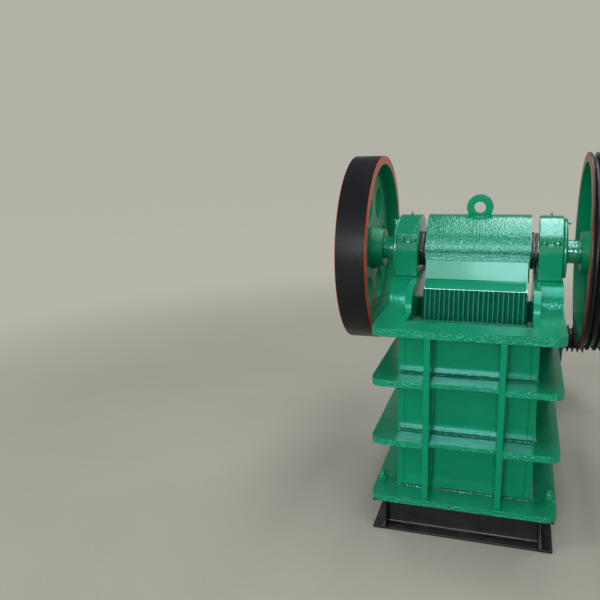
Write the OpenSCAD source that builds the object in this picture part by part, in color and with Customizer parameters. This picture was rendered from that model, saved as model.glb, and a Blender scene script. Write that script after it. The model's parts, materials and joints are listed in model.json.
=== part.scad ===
// Small stationary jaw crusher on a channel skid, with its motor behind it.
// X runs across the machine, Y from the feed side to the motor, Z up.
// The origin lies on the floor, in the middle of the skid's footprint.

/* [Overall] */
// Height of the shaft's axis above the floor
shaft_z = 1105; // [1080:1:1140]
// Distance from the front wall's outer face back to the shaft's axis
shaft_y = 583; // [560:1:600]
// Throw of the eccentric
throw = 8; // [6:0.5:10]
// Gap left round what moves
run_gap = 6; // [5:0.5:8]

/* [Frame walls] */
// Width of the frame over its two side plates
frame_w = 550; // [530:1:580]
// Thickness of a side plate
side_t = 28; // [22:1:32]
// Thickness of the front and rear walls
wall_t = 25; // [20:1:30]
// Distance from the front wall's outer face back to the rear wall's outer face
frame_len = 925; // [900:1:960]
// Length of the low rear box behind the rear wall
rear_box_len = 155; // [120:1:180]
// Height of the low rear box's top above the floor
rear_box_z = 430; // [400:1:460]
// Distance from the front wall's outer face back to the side plates' raised part
shoulder_front = 150; // [130:1:170]
// Thickness of a cheek plate, which lines a side plate inside
cheek_t = 19; // [16:1:22]

/* [Flanges and ribs] */
// How far the flanges stand out of the side plates
flange_side = 95; // [85:1:105]
// How far the flanges stand out of the front wall
flange_out = 110; // [90:1:125]
// Rounding of a flange's front corner
flange_r = 46; // [36:1:70]
// Height of the top flange's underside above the floor
top_flange_z = 863; // [850:1:880]
// Thickness of the top flange
top_flange_t = 35; // [28:1:40]
// Height of the upper rib's underside above the floor
upper_rib_z = 653; // [630:1:680]
// Height of the lower rib's underside above the floor
lower_rib_z = 397; // [380:1:420]
// Thickness of the outer ribs
rib_t = 28; // [20:1:32]
// Thickness of the ribs between the two upright ribs
mid_rib_t = 20; // [16:1:24]
// Thickness of the base flange
base_flange_t = 28; // [22:1:34]
// Distance between the two upright front ribs
upright_pitch = 288; // [260:1:310]
// Thickness of an upright rib
upright_t = 24; // [18:1:28]

/* [Skid] */
// Height of the skid's channel
skid_h = 140; // [120:1:160]
// Width of a channel's flange over its web
skid_flange = 58; // [50:1:64]
// Thickness of a channel's web
skid_web = 7; // [5:0.5:9]
// Thickness of a channel's flange
skid_lip = 10; // [7:0.5:12]
// Radius of a channel's root, where its web meets its flanges
skid_root = 11; // [8:0.5:14]
// How far the side channels' webs stand outside the side plates
skid_side = 37; // [30:1:42]
// Length of the skid
skid_len = 2015; // [1980:5:2060]
// How far the skid stands out in front of the front wall
skid_out = 95; // [80:1:105]

/* [Bearing housings] */
// How far a housing reaches inwards over its side plate
housing_lap = 13; // [8:1:16]
// Width of a housing
housing_w = 100; // [92:1:108]
// Thickness of the round cover on a housing's outer end
cover_t = 18; // [14:1:22]
// Outer radius of that cover
cover_r = 150; // [138:1:154]
// Outer radius of a housing
housing_r = 162; // [150:1:168]
// Height of a housing's seat below the shaft's axis
seat_drop = 105; // [95:1:115]
// Height over the shaft's axis of a cap's front and rear ledges, which take its nuts
cap_ledge_z = 49; // [42:1:56]
// Depth of those ledges
cap_ledge_d = 32; // [26:1:36]
// Height over the shaft's axis of the base's two ends, which hold the cap between them
joint_step = 18; // [12:1:22]

/* [Shaft and wheels] */
// Radius of the shaft in its housings
shaft_r = 48; // [44:1:54]
// Radius of the eccentric journal in the barrel
journal_r = 72; // [68:1:76]
// Radius of a wheel
wheel_r = 438; // [420:1:450]
// Distance from a housing's end cover to its wheel
wheel_gap = 66; // [58:1:72]
// Width of a wheel's rim
rim_w = 137; // [125:1:145]
// Depth of the rim
rim_h = 40; // [36:1:48]
// Thickness of a wheel's web
web_t = 30; // [24:1:36]
// Radius of a wheel's hub
hub_r = 90; // [82:1:98]
// Radius of a hole in the web
web_hole_r = 76; // [66:1:82]
// Distance from the shaft to a hole's middle
web_hole_at = 232; // [224:1:240]
// Distance between two belt grooves
groove_pitch = 29; // [27:0.5:31]
// Depth of a belt groove
groove_d = 21; // [16:0.5:24]
// Width of a belt groove at its mouth
groove_w = 24; // [20:0.5:25]

/* [Swing jaw] */
// Gap between a housing and the end of the barrel
barrel_gap = 34; // [30:1:40]
// Outer radius of the barrel
barrel_r = 157; // [150:1:162]
// Distance between two teeth
tooth_pitch = 21; // [19:0.5:24]
// Height of a tooth
tooth_h = 12; // [8:0.5:16]
// Thickness of a jaw plate behind its teeth
jaw_t = 34; // [26:1:40]
// Mouth between the two jaws at the top
gape = 262; // [245:1:270]
// Slot between the two jaws at the bottom
outlet = 62; // [55:1:80]
// Outer radius of the lifting eye
eye_r = 59; // [54:1:66]
// Radius of the lifting eye's hole
eye_hole_r = 26; // [22:1:30]

/* [Motor] */
// Distance from the front wall's outer face back to the motor's axis
motor_y = 1620; // [1600:1:1650]
// Height of the motor's axis above its feet
motor_h = 180; // [160:1:200]
// Height of the slide base on the skid
slide_h = 75; // [60:1:90]
// Radius of the motor's finned body over its fins
motor_r = 172; // [155:1:175]
// Radius of the motor's pulley
pulley_r = 83; // [75:1:95]
// Length of the motor's finned body
motor_len = 470; // [440:1:500]
// Radius of the motor's shaft
motor_shaft_r = 24; // [20:1:28]

/* [Hidden] */
$fn = 96;
seat_gap = 0.3;
green = [0.06, 0.55, 0.38];
dark_green = [0.05, 0.38, 0.26];
black_paint = [0.11, 0.13, 0.14];
steel = [0.72, 0.73, 0.74];
motor_blue = [0.16, 0.27, 0.42];

back_y = skid_len - skid_out;
mid_y = (back_y - flange_out) / 2;
half_w = frame_w / 2;
side_in = half_w - side_t;
flange_w = frame_w + 2 * flange_side;
skid_web_w = frame_w + 2 * skid_side;
jaw_w = 2 * (side_in - cheek_t - run_gap);
flange_top_z = top_flange_z + top_flange_t;
base_z = skid_h;
base_top_z = base_z + base_flange_t;
seat_z = shaft_z - seat_drop;
housing_in = half_w - housing_lap;
housing_out = housing_in + housing_w;
cover_out = housing_out + cover_t;
wheel_in = cover_out + wheel_gap;
barrel_len = 2 * (housing_in - barrel_gap);
pitman_z = shaft_z + throw;
rear_len = frame_len + rear_box_len;
motor_z = skid_h + slide_h + motor_h;

// Everything is drawn from the front wall's outer face and then centred.
module place() {
    translate([0, -mid_y, 0]) children();
}

module mirrored(side) {
    if (side < 0) mirror([1, 0, 0]) children();
    else children();
}

// A profile drawn as (y, z), carried along X from x0 to x1.
module along_x(x0, x1) {
    translate([x0, 0, 0]) rotate([90, 0, 90]) linear_extrude(x1 - x0) children();
}

// A flat outline drawn as (x, y), thickened upwards from z0.
module slab(z0, t) {
    translate([0, 0, z0]) linear_extrude(t) children();
}

module box(x0, x1, y0, y1, z0, z1) {
    translate([x0, y0, z0]) cube([x1 - x0, y1 - y0, z1 - z0]);
}

// Skid
module channel_profile() {
    inner = skid_flange - skid_web;
    difference() {
        square([skid_flange, skid_h]);
        translate([-1, skid_lip]) square([inner - skid_root + 1, skid_h - 2 * skid_lip]);
        translate([0, skid_lip + skid_root])
            square([inner, skid_h - 2 * skid_lip - 2 * skid_root]);
        for (z = [skid_lip + skid_root, skid_h - skid_lip - skid_root])
            translate([inner - skid_root, z]) circle(skid_root);
    }
}

module side_beam(side) {
    mirrored(side)
        translate([skid_web_w / 2 - skid_web + skid_flange, back_y, 0])
            rotate([90, 0, 0])
                linear_extrude(skid_len) mirror([1, 0]) channel_profile();
}

module skid_left_beam() color(black_paint) place() side_beam(-1);
module skid_right_beam() color(black_paint) place() side_beam(1);

beam_end = skid_web_w / 2 - skid_web;

module skid_front_beam() color(black_paint) place()
    translate([-beam_end, -skid_out, 0]) rotate([90, 0, 90])
        linear_extrude(2 * beam_end) channel_profile();

module skid_rear_beam() color(black_paint) place()
    translate([-beam_end, back_y, 0]) rotate([90, 0, 90])
        linear_extrude(2 * beam_end) mirror([1, 0]) channel_profile();

cross_at = [rear_len - 40, motor_y - 150, motor_y + 130];
module skid_cross_beams() color(black_paint) place()
    for (y = cross_at)
        translate([-beam_end, y, 0]) rotate([90, 0, 90])
            linear_extrude(2 * beam_end) channel_profile();

// Frame walls
housing_front = shaft_y - housing_r - 8;
housing_back = shaft_y + housing_r + 8;
shoulder_r = seat_z - flange_top_z;
shoulder_y = shoulder_front + shoulder_r;
slope_top_z = seat_z + 60;
slope_foot_z = 790;

module side_outline() {
    polygon([[0, base_z], [0, flange_top_z], [shoulder_front, flange_top_z],
        [shoulder_y, seat_z], [housing_back, seat_z], [housing_back, slope_top_z],
        [housing_back + 25, slope_top_z], [frame_len, slope_foot_z],
        [frame_len, rear_box_z], [rear_len, rear_box_z], [rear_len, base_z]]);
}

module shoulder_outline() {
    intersection() {
        translate([shoulder_y, flange_top_z]) circle(shoulder_r);
        translate([shoulder_front - 1, flange_top_z]) square(shoulder_r + 1);
    }
}

module side_plate(side) {
    mirrored(side) {
        along_x(side_in, half_w) side_outline();
        along_x(side_in, half_w) shoulder_outline();
    }
}

module left_side_plate() color(green) place() side_plate(-1);
module right_side_plate() color(green) place() side_plate(1);

module front_wall() color(green) place()
    box(-side_in, side_in, 0, wall_t, base_z, flange_top_z);

rear_wall_z = 400;
module rear_wall() color(green) place() {
    box(-side_in, side_in, frame_len - wall_t, frame_len, rear_wall_z, slope_foot_z);
}

// Flanges and ribs
module flange_outline(back) {
    w = flange_w / 2;
    translate([-w, -flange_out + flange_r]) square([flange_w, back + flange_out - flange_r]);
    translate([-w + flange_r, -flange_out]) square([flange_w - 2 * flange_r, flange_r + 1]);
    for (s = [-1, 1]) translate([s * (w - flange_r), -flange_out + flange_r]) circle(flange_r);
}

module wall_gap(back) {
    translate([-half_w, 0]) square([frame_w, back + 1]);
}

module top_flange() color(green) place()
    slab(top_flange_z, top_flange_t) difference() {
        flange_outline(frame_len - 90);
        wall_gap(frame_len);
    }

module rib_band(z, back) {
    slab(z, rib_t) difference() {
        flange_outline(back);
        wall_gap(back);
        translate([-upright_pitch / 2 - upright_t / 2, -flange_out - 1])
            square([upright_pitch + upright_t, flange_out + 1]);
    }
    box(-upright_pitch / 2 + upright_t / 2, upright_pitch / 2 - upright_t / 2,
        -flange_out + 10, 0, z + rib_t - mid_rib_t, z + rib_t);
}

module upper_rib() color(green) place() rib_band(upper_rib_z, frame_len);
module lower_rib() color(green) place() rib_band(lower_rib_z, rear_len);

module base_flange() color(green) place()
    slab(base_z, base_flange_t) difference() {
        flange_outline(rear_len);
        wall_gap(rear_len);
    }

module front_uprights() color(green) place()
    for (s = [-1, 1])
        box(s * upright_pitch / 2 - upright_t / 2, s * upright_pitch / 2 + upright_t / 2,
            -flange_out + 1, 0, base_top_z, top_flange_z);

side_upright_back = 85;
side_upright_pitch = 150;
side_upright_at = [frame_len - side_upright_back - side_upright_pitch, frame_len - side_upright_back];
side_upright_out = 80;
side_upright_t = 20;
module side_uprights() color(green) place()
    for (s = [-1, 1]) mirrored(s) {
        for (y = side_upright_at)
            box(half_w, half_w + side_upright_out, y, y + side_upright_t, base_top_z, lower_rib_z);
        for (y = side_upright_at)
            box(half_w, half_w + side_upright_out, y, y + side_upright_t, lower_rib_z + rib_t,
                upper_rib_z);
        box(half_w, half_w + side_upright_out, side_upright_at[0],
            side_upright_at[0] + side_upright_t, upper_rib_z + rib_t, top_flange_z);
    }

// Pedestals under the bearing housings
pedestal_r = shoulder_r;
pedestal_out = housing_out + 6;
pedestal_t = 22;
module pedestal_outline() {
    y0 = housing_front - 21;
    y1 = housing_back - 22;
    difference() {
        union() {
            for (y = [y0, y1]) intersection() {
                translate([y, flange_top_z]) circle(pedestal_r);
                translate([y - pedestal_r, flange_top_z])
                    square([2 * pedestal_r, pedestal_r]);
            }
            translate([y0, flange_top_z]) square([y1 - y0, pedestal_r]);
        }
        difference() {
            translate([y0, flange_top_z - 1]) square([y1 - y0, pedestal_r - pedestal_t]);
            translate([shaft_y - pedestal_t / 2, flange_top_z]) square([pedestal_t, pedestal_r]);
        }
        for (y = [y0, y1]) intersection() {
            translate([y, flange_top_z]) circle(pedestal_r - pedestal_t);
            translate([y - (y < shaft_y ? pedestal_r : 0), flange_top_z - 1])
                square([pedestal_r, pedestal_r]);
        }
    }
}

module pedestal(side) {
    mirrored(side) along_x(half_w, pedestal_out) pedestal_outline();
}

module left_pedestal() color(green) place() pedestal(-1);
module right_pedestal() color(green) place() pedestal(1);

// Bearing housings, split at the shaft's axis
bearing_bore_r = shaft_r + 0.06;
module bearing_bore(x0, x1) {
    translate([x0 - 1, shaft_y, shaft_z]) rotate([0, 90, 0])
        cylinder(r = bearing_bore_r, h = x1 - x0 + 2);
}

// Outline of a housing's lower half, drawn as (y, z), with a raised end at front and rear
flat_y = shaft_y - housing_front - cap_ledge_d;
module base_outline() {
    polygon([[housing_front, seat_z], [housing_back, seat_z], [housing_back, shaft_z + joint_step],
        [shaft_y + flat_y, shaft_z + joint_step], [shaft_y + flat_y, shaft_z],
        [shaft_y - flat_y, shaft_z], [shaft_y - flat_y, shaft_z + joint_step],
        [housing_front, shaft_z + joint_step]]);
}

module bearing_base(side) {
    mirrored(side) difference() {
        along_x(housing_in, housing_out) base_outline();
        bearing_bore(housing_in, housing_out);
    }
}

// The round cap is cut flat at its front and rear, where nuts stand on low ledges.
module bearing_cap(side) {
    mirrored(side) difference() {
        union() {
            intersection() {
                translate([housing_in, shaft_y, shaft_z]) rotate([0, 90, 0])
                    cylinder(r = housing_r, h = housing_w);
                box(housing_in - 1, housing_out + 1, shaft_y - flat_y, shaft_y + flat_y,
                    shaft_z, shaft_z + housing_r + 1);
            }
            box(housing_in, housing_out, housing_front, housing_back, shaft_z + joint_step,
                shaft_z + cap_ledge_z);
        }
        bearing_bore(housing_in, housing_out);
    }
}

module end_covers() color(green) place()
    for (s = [-1, 1]) mirrored(s) difference() {
        intersection() {
            translate([housing_out, shaft_y, shaft_z]) rotate([0, 90, 0])
                cylinder(r = cover_r, h = cover_t);
            box(housing_out - 1, cover_out + 1, shaft_y - cover_r - 1, shaft_y + cover_r + 1,
                seat_z + 4, shaft_z + cover_r + 1);
        }
        bearing_bore(housing_out, cover_out);
    }

module left_bearing_base() color(green) place() bearing_base(-1);
module right_bearing_base() color(green) place() bearing_base(1);
module left_bearing_cap() color(green) place() bearing_cap(-1);
module right_bearing_cap() color(green) place() bearing_cap(1);

// Jaws
jaw_top_z = 965;
jaw_foot_z = 235;
fixed_face_top = wall_t + 26 + tooth_h;
fixed_face_foot = fixed_face_top + 34;
moving_face_top = fixed_face_top + gape;
moving_face_foot = fixed_face_foot + outlet;
tooth_count = floor(jaw_w / tooth_pitch);

// Outline of a jaw plate seen from above: a flat back and a row of teeth.
tooth_foot = tooth_pitch * 0.42;
tooth_tip = tooth_pitch * 0.18;
function tooth_middle(i) = (i - (tooth_count - 1) / 2) * tooth_pitch;
toothed_outline = concat(
    [[-jaw_w / 2, -jaw_t], [-jaw_w / 2, 0]],
    [for (i = [0 : tooth_count - 1])
        for (p = [[-tooth_foot, 0], [-tooth_tip, tooth_h], [tooth_tip, tooth_h], [tooth_foot, 0]])
            [tooth_middle(i) + p[0], p[1]]],
    [[jaw_w / 2, 0], [jaw_w / 2, -jaw_t]]);

module toothed_plate(h) {
    linear_extrude(h) polygon(toothed_outline);
}

fixed_lean = atan2(fixed_face_foot - fixed_face_top, flange_top_z - jaw_foot_z);
trim = 60;
module fixed_jaw() color(steel) place()
    intersection() {
        translate([0, fixed_face_foot - tooth_h, jaw_foot_z])
            rotate([fixed_lean, 0, 0]) translate([0, 0, -trim])
                toothed_plate(flange_top_z - jaw_foot_z + 2 * trim);
        box(-jaw_w / 2, jaw_w / 2, wall_t, moving_face_top, jaw_foot_z, flange_top_z);
    }

moving_lean = atan2(moving_face_top - moving_face_foot, jaw_top_z - jaw_foot_z);
jaw_len = (jaw_top_z - jaw_foot_z) / cos(moving_lean);
module moving_jaw() color(steel) place()
    translate([0, moving_face_foot, jaw_foot_z]) rotate([-moving_lean, 0, 0])
        mirror([0, 1, 0]) translate([0, -tooth_h, 0]) toothed_plate(jaw_len);

cheek_top_z = flange_top_z - 60;
module cheek_plate(side) {
    mirrored(side) along_x(side_in - cheek_t, side_in)
        polygon([[wall_t, jaw_foot_z], [wall_t, cheek_top_z],
            [moving_face_top - 5, cheek_top_z], [moving_face_foot + 60, jaw_foot_z]]);
}
module left_cheek_plate() color(steel) place() cheek_plate(-1);
module right_cheek_plate() color(steel) place() cheek_plate(1);

// Pitman: barrel, front plate that carries the jaw, rear ribs and toggle groove
plate_depth = (tooth_h + jaw_t) / cos(moving_lean);
back_top = moving_face_top + plate_depth;
back_foot = moving_face_foot + plate_depth;
ridge_r = 23;
ridge_out = 13;
ridge_z = pitman_z + 19;
toggle_z = 300;
nose_y = shaft_y - barrel_r;
nose_z = pitman_z - 20;
clamp_h = 36;
nose_run = (nose_y - back_top) / (nose_z - jaw_top_z);
heel_d = 120;
heel_y = back_foot + heel_d;
neck_d = 60;
waist_d = 110;
module pitman_outline() {
    polygon([[back_foot + seat_gap, jaw_foot_z], [back_top + seat_gap, jaw_top_z],
        [nose_y, nose_z], [nose_y, pitman_z],
        [shaft_y + neck_d, pitman_z], [shaft_y + neck_d, pitman_z - heel_d],
        [back_top + waist_d, jaw_top_z - neck_d], [heel_y, toggle_z + neck_d],
        [heel_y, jaw_foot_z]]);
}

module pitman() color(green) place() difference() {
    union() {
        along_x(-jaw_w / 2, jaw_w / 2) pitman_outline();
        along_x(-barrel_len / 2, barrel_len / 2)
            translate([shaft_y, pitman_z]) circle(barrel_r);
        along_x(-barrel_len / 2, barrel_len / 2)
            translate([nose_y - ridge_out + ridge_r, ridge_z]) circle(ridge_r);
    }
    translate([-barrel_len / 2 - 1, shaft_y, pitman_z]) rotate([0, 90, 0])
        cylinder(r = journal_r + 0.06, h = barrel_len + 2);
}

module jaw_clamp() color(dark_green) place()
    along_x(-jaw_w / 2 + 6, jaw_w / 2 - 6)
        polygon([[back_top - jaw_t - 6, jaw_top_z + seat_gap], [back_top - seat_gap, jaw_top_z + seat_gap],
            [back_top + clamp_h * nose_run - seat_gap, jaw_top_z + clamp_h],
            [back_top - jaw_t + 12, jaw_top_z + clamp_h]]);

eye_t = 28;
eye_foot_w = 90;
eye_up = barrel_r + eye_r - 26;
module lifting_eye() color(green) place()
    translate([0, shaft_y + eye_t / 2, pitman_z + eye_up]) rotate([90, 0, 0]) difference() {
        union() {
            cylinder(r = eye_r, h = eye_t);
            translate([-eye_foot_w / 2, -eye_r + 10, 0]) cube([eye_foot_w, 30, eye_t]);
        }
        translate([0, 0, -1]) cylinder(r = eye_hole_r, h = eye_t + 2);
        translate([-eye_foot_w, -eye_up, eye_t / 2]) rotate([0, 90, 0])
            cylinder(r = barrel_r + seat_gap, h = 2 * eye_foot_w);
    }

// Toggle
seat_d = 70;
toggle_front = heel_y + throw + run_gap;
toggle_back = frame_len - wall_t - seat_d;
toggle_rise = 110;
toggle_half = 160;
toggle_t = 30;
toggle_room = 12;
toggle_top_z = toggle_z + toggle_rise;
module toggle_plate() color(steel) place()
    along_x(-toggle_half, toggle_half)
        polygon([[toggle_front, toggle_z], [toggle_back, toggle_top_z],
            [toggle_back, toggle_top_z + toggle_t], [toggle_front, toggle_z + toggle_t]]);

seat_side = 40;
seat_lip = 20;
module toggle_seat() color(green) place()
    difference() {
        box(-toggle_half - seat_side, toggle_half + seat_side, toggle_back - seat_lip,
            frame_len - wall_t, toggle_top_z - seat_side, toggle_top_z + toggle_t + seat_side);
        box(-toggle_half - seat_gap, toggle_half + seat_gap, toggle_back - seat_lip - 1,
            toggle_back + seat_gap, toggle_top_z - toggle_room,
            toggle_top_z + toggle_t + toggle_room);
    }

rod_z = 262;
rod_r = 14;
rod_hole_r = rod_r + throw + run_gap;
bracket_y = rear_len - 60;
module rod_bracket() color(green) place() difference() {
    box(-side_in, side_in, bracket_y, bracket_y + wall_t, base_top_z, rear_box_z);
    translate([0, bracket_y - 1, rod_z - throw]) rotate([-90, 0, 0])
        cylinder(r = rod_hole_r, h = wall_t + 2);
}

spring_r = rod_hole_r + 14;
spring_len = 120;
module rod_spring() color(steel) place()
    translate([0, bracket_y + wall_t, rod_z - throw]) rotate([-90, 0, 0]) difference() {
        cylinder(r = spring_r, h = spring_len);
        translate([0, 0, -1]) cylinder(r = rod_hole_r, h = spring_len + 2);
    }

rod_over = 60;
rod_nut_h = 24;
module tension_rod() color(steel) place() {
    translate([0, heel_y, rod_z]) rotate([-90, 0, 0])
        cylinder(r = rod_r, h = bracket_y + wall_t + spring_len + rod_over - heel_y);
    translate([0, bracket_y + wall_t + spring_len + throw + run_gap, rod_z])
        rotate([-90, 0, 0]) cylinder(r = 2 * rod_r, h = rod_nut_h, $fn = 6);
}

// Shaft, with its journal raised by the throw
shaft_end = wheel_in + rim_w + 20;
seat_fit = 0.02;
seal_r = 85;
journal_end = barrel_len / 2 + 3;
module eccentric_shaft() color(steel) place() {
    translate([-shaft_end, shaft_y, shaft_z]) rotate([0, 90, 0])
        cylinder(r = shaft_r, h = 2 * shaft_end);
    translate([-journal_end, shaft_y, pitman_z]) rotate([0, 90, 0])
        cylinder(r = journal_r, h = 2 * journal_end);
}

// A plain ring on the shaft between x0 and x1
module shaft_ring(r, x0, x1) {
    translate([x0, shaft_y, shaft_z]) rotate([0, 90, 0]) difference() {
        cylinder(r = r, h = x1 - x0);
        translate([0, 0, -1]) cylinder(r = shaft_r + seat_fit, h = x1 - x0 + 2);
    }
}

sleeve_t = 5;
module shaft_collars() color(dark_green) place()
    for (s = [-1, 1]) mirrored(s) shaft_ring(shaft_r + sleeve_t, cover_out + run_gap, hub_in);

seal_t = 12;
seal_gap = 3.5;
module seal_rings() color(steel) place()
    for (s = [-1, 1]) mirrored(s) {
        shaft_ring(seal_r, journal_end + seat_fit, journal_end + seal_t);
        shaft_ring(seal_r - 4, housing_in - seal_gap - seal_t, housing_in - seal_gap);
    }

// Wheels
web_at = wheel_in + rim_w / 2;
hub_out = 4;
hub_in = wheel_in - hub_out;
hub_flare = 20;
hub_half = rim_w / 2 + hub_out;
weight_from = wheel_r - rim_h - 62;

// Rim, plain web and a hub that widens towards the web from both ends
module wheel_blank() {
    translate([0, shaft_y, shaft_z]) rotate([0, 90, 0]) {
        translate([0, 0, wheel_in]) difference() {
            cylinder(r = wheel_r, h = rim_w, $fn = 180);
            translate([0, 0, -1]) cylinder(r = wheel_r - rim_h, h = rim_w + 2, $fn = 180);
        }
        translate([0, 0, web_at - web_t / 2])
            cylinder(r = wheel_r - rim_h + 1, h = web_t);
        translate([0, 0, web_at - hub_half])
            cylinder(r1 = hub_r, r2 = hub_r + hub_flare, h = hub_half);
        translate([0, 0, web_at])
            cylinder(r1 = hub_r + hub_flare, r2 = hub_r, h = hub_half);
    }
}

module web_holes() {
    for (a = [30 : 60 : 330])
        translate([0, shaft_y, shaft_z]) rotate([0, 90, 0]) rotate([0, 0, a])
            translate([web_hole_at, 0, web_at - web_t]) cylinder(r = web_hole_r, h = 2 * web_t);
}

module counterweight() {
    along_x(wheel_in, wheel_in + rim_w) intersection() {
        translate([shaft_y, shaft_z]) circle(wheel_r - rim_h + 1);
        translate([shaft_y - wheel_r, shaft_z - weight_from - wheel_r]) square([2 * wheel_r, wheel_r]);
    }
}

module wheel(side) {
    mirrored(side) difference() {
        union() {
            difference() {
                wheel_blank();
                web_holes();
            }
            counterweight();
        }
        translate([0, shaft_y, shaft_z]) rotate([0, 90, 0])
            cylinder(r = shaft_r + seat_fit, h = shaft_end + 10);
    }
}

module left_flywheel() color(black_paint) place() wheel(-1);

groove_count = 4;
groove_mouth = groove_w / 2;
groove_foot = groove_mouth - 5;
module groove_cut(r, mid) {
    for (i = [0 : groove_count - 1])
        translate([0, 0, mid + (i - (groove_count - 1) / 2) * groove_pitch])
            rotate_extrude($fn = 180)
                polygon([[r + 1, -groove_mouth], [r - groove_d, -groove_foot],
                    [r - groove_d, groove_foot], [r + 1, groove_mouth]]);
}

module grooved_wheel() color(black_paint) place() difference() {
    wheel(1);
    translate([0, shaft_y, shaft_z]) rotate([0, 90, 0])
        groove_cut(wheel_r, web_at);
}

// Motor on its slide base
foot_z = skid_h + slide_h;
body_x1 = wheel_in - 26;
body_x0 = body_x1 - motor_len;
pulley_w = (groove_count - 1) * groove_pitch + 34;
slide_at = 160;
slide_w = 100;
slide_wall = 9;
slide_end = skid_web_w / 2 + 20;
module slide_base() color(green) place()
    for (s = [-1, 1])
        along_x(-slide_end, slide_end) translate([motor_y + s * slide_at - slide_w / 2, skid_h])
            difference() {
                square([slide_w, slide_h]);
                translate([slide_wall, -1])
                    square([slide_w - 2 * slide_wall, slide_h - slide_wall + 1]);
            }

module motor_body() color(motor_blue) place() difference() {
    motor_casting();
    translate([body_x0 - 1, motor_y, motor_z]) rotate([0, 90, 0])
        cylinder(r = motor_shaft_r + 3, h = motor_len + 2);
}

fin_h = 24;
fin_t = 4;
fin_inset = 20;
motor_foot_inset = 60;
motor_foot_half = 150;
motor_foot_t = 24;
motor_leg_at = 110;
motor_leg_t = 28;
module motor_casting() {
    foot_x0 = body_x0 + motor_foot_inset;
    foot_x1 = body_x1 - motor_foot_inset;
    translate([body_x0, motor_y, motor_z]) rotate([0, 90, 0])
        cylinder(r = motor_r - fin_h, h = motor_len);
    box(foot_x0, foot_x1, motor_y - motor_foot_half, motor_y + motor_foot_half, foot_z,
        foot_z + motor_foot_t);
    for (s = [-1, 1])
        translate([foot_x0, motor_y + s * motor_leg_at - motor_leg_t / 2, foot_z + motor_foot_t - 1])
            cube([foot_x1 - foot_x0, motor_leg_t, motor_h / 2]);
    for (a = [20 : 12 : 340])
        translate([body_x0 + fin_inset, motor_y, motor_z]) rotate([-a, 0, 0])
            translate([0, -fin_t / 2, -motor_r])
                cube([motor_len - 2 * fin_inset, fin_t, 2 * fin_h]);
}

shield_t = 30;
module motor_end_shields() color(motor_blue) place()
    for (x = [body_x0 - shield_t, body_x1])
        translate([x, motor_y, motor_z]) rotate([0, 90, 0]) difference() {
            cylinder(r = motor_r - 6, h = shield_t);
            translate([0, 0, -1]) cylinder(r = motor_shaft_r + 0.06, h = shield_t + 2);
        }

cowl_len = 100;
cowl_wall = 6;
slot_count = 18;
module motor_fan_cover() color(motor_blue) place()
    translate([body_x0 - shield_t - cowl_len, motor_y, motor_z]) rotate([0, 90, 0]) difference() {
        cylinder(r = motor_r - 2, h = cowl_len);
        translate([0, 0, cowl_wall]) cylinder(r = motor_r - 2 - cowl_wall, h = cowl_len);
        for (i = [0 : slot_count - 1]) rotate([0, 0, i * 360 / slot_count])
            translate([motor_r * 0.32, -4, -1]) cube([motor_r * 0.48, 8, cowl_wall + 2]);
    }

terminal_len = 140;
terminal_w = 120;
terminal_h = 70;
module motor_terminal_box() color(motor_blue) place()
    translate([body_x0 + motor_len / 3, motor_y - terminal_w / 2, motor_z + motor_r])
        cube([terminal_len, terminal_w, terminal_h]);

motor_shaft_end = web_at + pulley_w / 2;
module motor_shaft() color(steel) place()
    translate([body_x0 - 2 * shield_t, motor_y, motor_z]) rotate([0, 90, 0])
        cylinder(r = motor_shaft_r, h = motor_shaft_end - body_x0 + 2 * shield_t);

module motor_pulley() color(black_paint) place()
    translate([0, motor_y, motor_z]) rotate([0, 90, 0]) difference() {
        translate([0, 0, web_at - pulley_w / 2]) cylinder(r = pulley_r, h = pulley_w);
        groove_cut(pulley_r, web_at);
        translate([0, 0, web_at - pulley_w]) cylinder(r = motor_shaft_r + seat_fit, h = 2 * pulley_w);
    }

skid_left_beam();
skid_right_beam();
skid_front_beam();
skid_rear_beam();
skid_cross_beams();
left_side_plate();
right_side_plate();
front_wall();
rear_wall();
top_flange();
upper_rib();
lower_rib();
base_flange();
front_uprights();
side_uprights();
left_pedestal();
right_pedestal();
left_bearing_base();
right_bearing_base();
left_bearing_cap();
right_bearing_cap();
end_covers();
fixed_jaw();
left_cheek_plate();
right_cheek_plate();
toggle_seat();
toggle_plate();
rod_bracket();
rod_spring();
slide_base();
motor_body();
motor_end_shields();
motor_fan_cover();
motor_terminal_box();
eccentric_shaft();
shaft_collars();
seal_rings();
left_flywheel();
grooved_wheel();
pitman();
moving_jaw();
jaw_clamp();
lifting_eye();
tension_rod();
motor_shaft();
motor_pulley();
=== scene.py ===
"""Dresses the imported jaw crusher: enamel, weld beads, bolts, spring coils and a plain studio.

X runs across the machine, Y from the feed side back to the motor, Z up, all in metres.
"""

import json
import math

import bpy
import numpy as np
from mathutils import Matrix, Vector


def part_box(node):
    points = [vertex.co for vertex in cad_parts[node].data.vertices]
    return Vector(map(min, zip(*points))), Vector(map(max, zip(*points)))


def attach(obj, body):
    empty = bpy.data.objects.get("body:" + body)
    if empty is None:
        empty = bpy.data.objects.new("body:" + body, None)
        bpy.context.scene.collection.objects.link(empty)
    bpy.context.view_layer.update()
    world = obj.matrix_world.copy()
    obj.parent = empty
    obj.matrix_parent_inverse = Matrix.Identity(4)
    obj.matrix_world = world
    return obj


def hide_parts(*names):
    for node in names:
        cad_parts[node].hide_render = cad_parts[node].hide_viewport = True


bl_info = {
    "name": "Jaw crusher",
    "version": (1, 0, 0),
    "blender": (4, 5, 0),
    "location": "3D View > Sidebar > Crusher",
    "description": "Paint, weld beads, bolts and small fittings for a packed jaw crusher",
    "category": "Object",
}

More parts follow.
